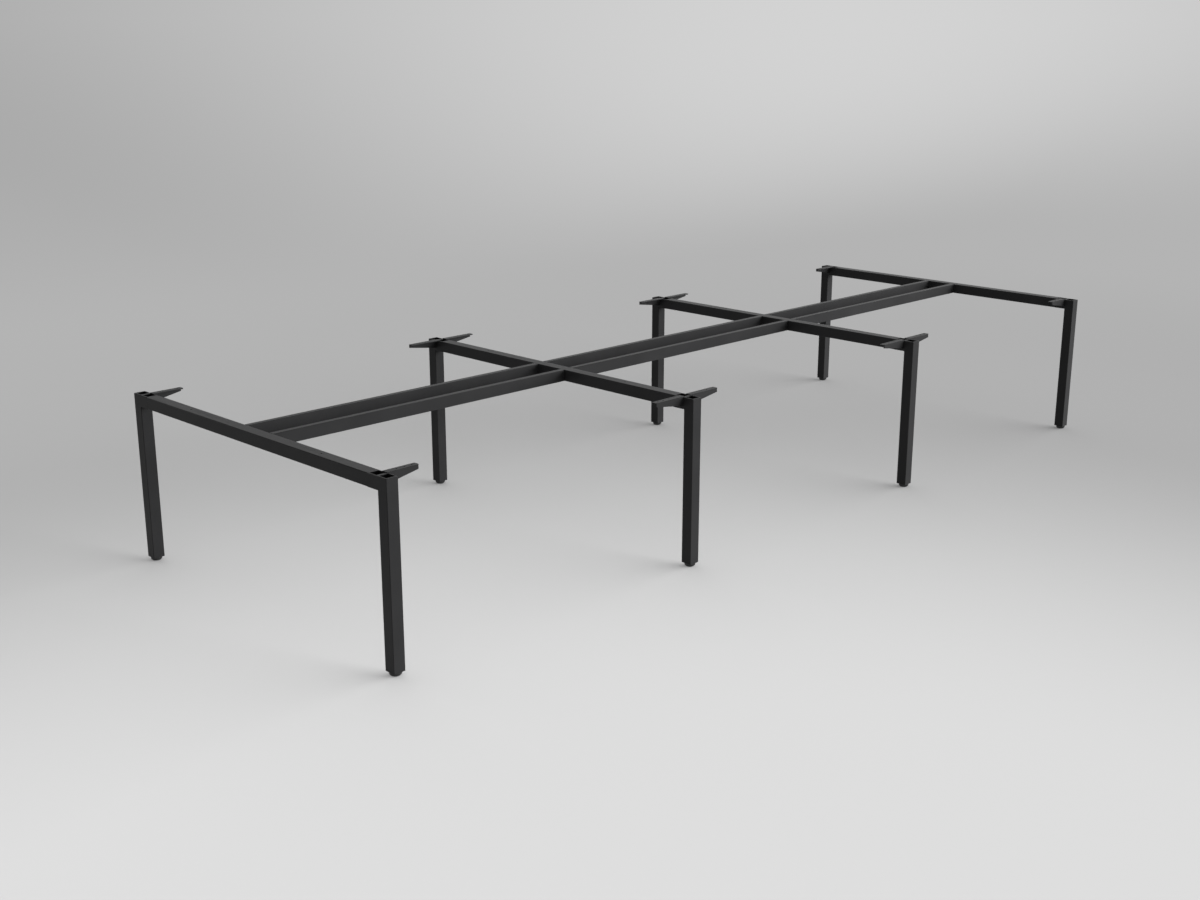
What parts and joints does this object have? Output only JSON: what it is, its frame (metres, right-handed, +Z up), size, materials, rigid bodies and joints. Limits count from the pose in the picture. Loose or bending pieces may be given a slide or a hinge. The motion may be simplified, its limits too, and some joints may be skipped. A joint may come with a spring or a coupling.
{
  "type": "desk frame",
  "caption": "Black bench desk frame: square-tube portal frames in a row, tied by paired long beams, with cast corners whose wings carry the worktops, on levelling feet.",
  "frame": {"origin": "on the floor, under the middle of the frame", "axes": "+X along the beams, +Y across the bench to the left-hand side, +Z up"},
  "size_m": [4.67, 1.685, 0.723],
  "materials": {
    "tube_coat": "satin black powder coat on steel tube",
    "casting_coat": "satin black powder coat on die-cast aluminium",
    "pad_plastic": "moulded black polyamide",
    "plug_plastic": "moulded black polyamide",
    "zinc_steel": "zinc-plated steel",
    "black_steel": "black-oxide steel"
  },
  "bodies": {
    "frame": {"cross_rail_1": "tube_coat", "corner_casting_1_right": "casting_coat", "leg_1_right": "tube_coat", "foot_plug_1_right": "plug_plastic", "corner_casting_1_left": "casting_coat", "leg_1_left": "tube_coat", "foot_plug_1_left": "plug_plastic", "cross_rail_2": "tube_coat", "corner_casting_2_right": "casting_coat", "leg_2_right": "tube_coat", "foot_plug_2_right": "plug_plastic", "corner_casting_2_left": "casting_coat", "leg_2_left": "tube_coat", "foot_plug_2_left": "plug_plastic", "cross_rail_3": "tube_coat", "corner_casting_3_right": "casting_coat", "leg_3_right": "tube_coat", "foot_plug_3_right": "plug_plastic", "corner_casting_3_left": "casting_coat", "leg_3_left": "tube_coat", "foot_plug_3_left": "plug_plastic", "cross_rail_4": "tube_coat", "corner_casting_4_right": "casting_coat", "leg_4_right": "tube_coat", "foot_plug_4_right": "plug_plastic", "corner_casting_4_left": "casting_coat", "leg_4_left": "tube_coat", "foot_plug_4_left": "plug_plastic", "long_beam_1_right": "tube_coat", "long_beam_1_left": "tube_coat", "long_beam_2_right": "tube_coat", "long_beam_2_left": "tube_coat", "long_beam_3_right": "tube_coat", "long_beam_3_left": "tube_coat", "leg_bolts": "black_steel", "rail_bolts": "black_steel", "beam_stubs": "tube_coat", "beam_screws": "zinc_steel"},
    "foot_1_right": {"foot_pad_1_right": "pad_plastic", "foot_stud_1_right": "zinc_steel"},
    "foot_1_left": {"foot_pad_1_left": "pad_plastic", "foot_stud_1_left": "zinc_steel"},
    "foot_2_right": {"foot_pad_2_right": "pad_plastic", "foot_stud_2_right": "zinc_steel"},
    "foot_2_left": {"foot_pad_2_left": "pad_plastic", "foot_stud_2_left": "zinc_steel"},
    "foot_3_right": {"foot_pad_3_right": "pad_plastic", "foot_stud_3_right": "zinc_steel"},
    "foot_3_left": {"foot_pad_3_left": "pad_plastic", "foot_stud_3_left": "zinc_steel"},
    "foot_4_right": {"foot_pad_4_right": "pad_plastic", "foot_stud_4_right": "zinc_steel"},
    "foot_4_left": {"foot_pad_4_left": "pad_plastic", "foot_stud_4_left": "zinc_steel"}
  },
  "joints": [
    {"name": "level_1_right", "type": "slide", "parent": "frame", "child": "foot_1_right", "axis": [0, 0, -1], "range_m": [0, 0.015]},
    {"name": "level_1_left", "type": "slide", "parent": "frame", "child": "foot_1_left", "axis": [0, 0, -1], "range_m": [0, 0.015]},
    {"name": "level_2_right", "type": "slide", "parent": "frame", "child": "foot_2_right", "axis": [0, 0, -1], "range_m": [0, 0.015]},
    {"name": "level_2_left", "type": "slide", "parent": "frame", "child": "foot_2_left", "axis": [0, 0, -1], "range_m": [0, 0.015]},
    {"name": "level_3_right", "type": "slide", "parent": "frame", "child": "foot_3_right", "axis": [0, 0, -1], "range_m": [0, 0.015]},
    {"name": "level_3_left", "type": "slide", "parent": "frame", "child": "foot_3_left", "axis": [0, 0, -1], "range_m": [0, 0.015]},
    {"name": "level_4_right", "type": "slide", "parent": "frame", "child": "foot_4_right", "axis": [0, 0, -1], "range_m": [0, 0.015]},
    {"name": "level_4_left", "type": "slide", "parent": "frame", "child": "foot_4_left", "axis": [0, 0, -1], "range_m": [0, 0.015]}
  ]
}
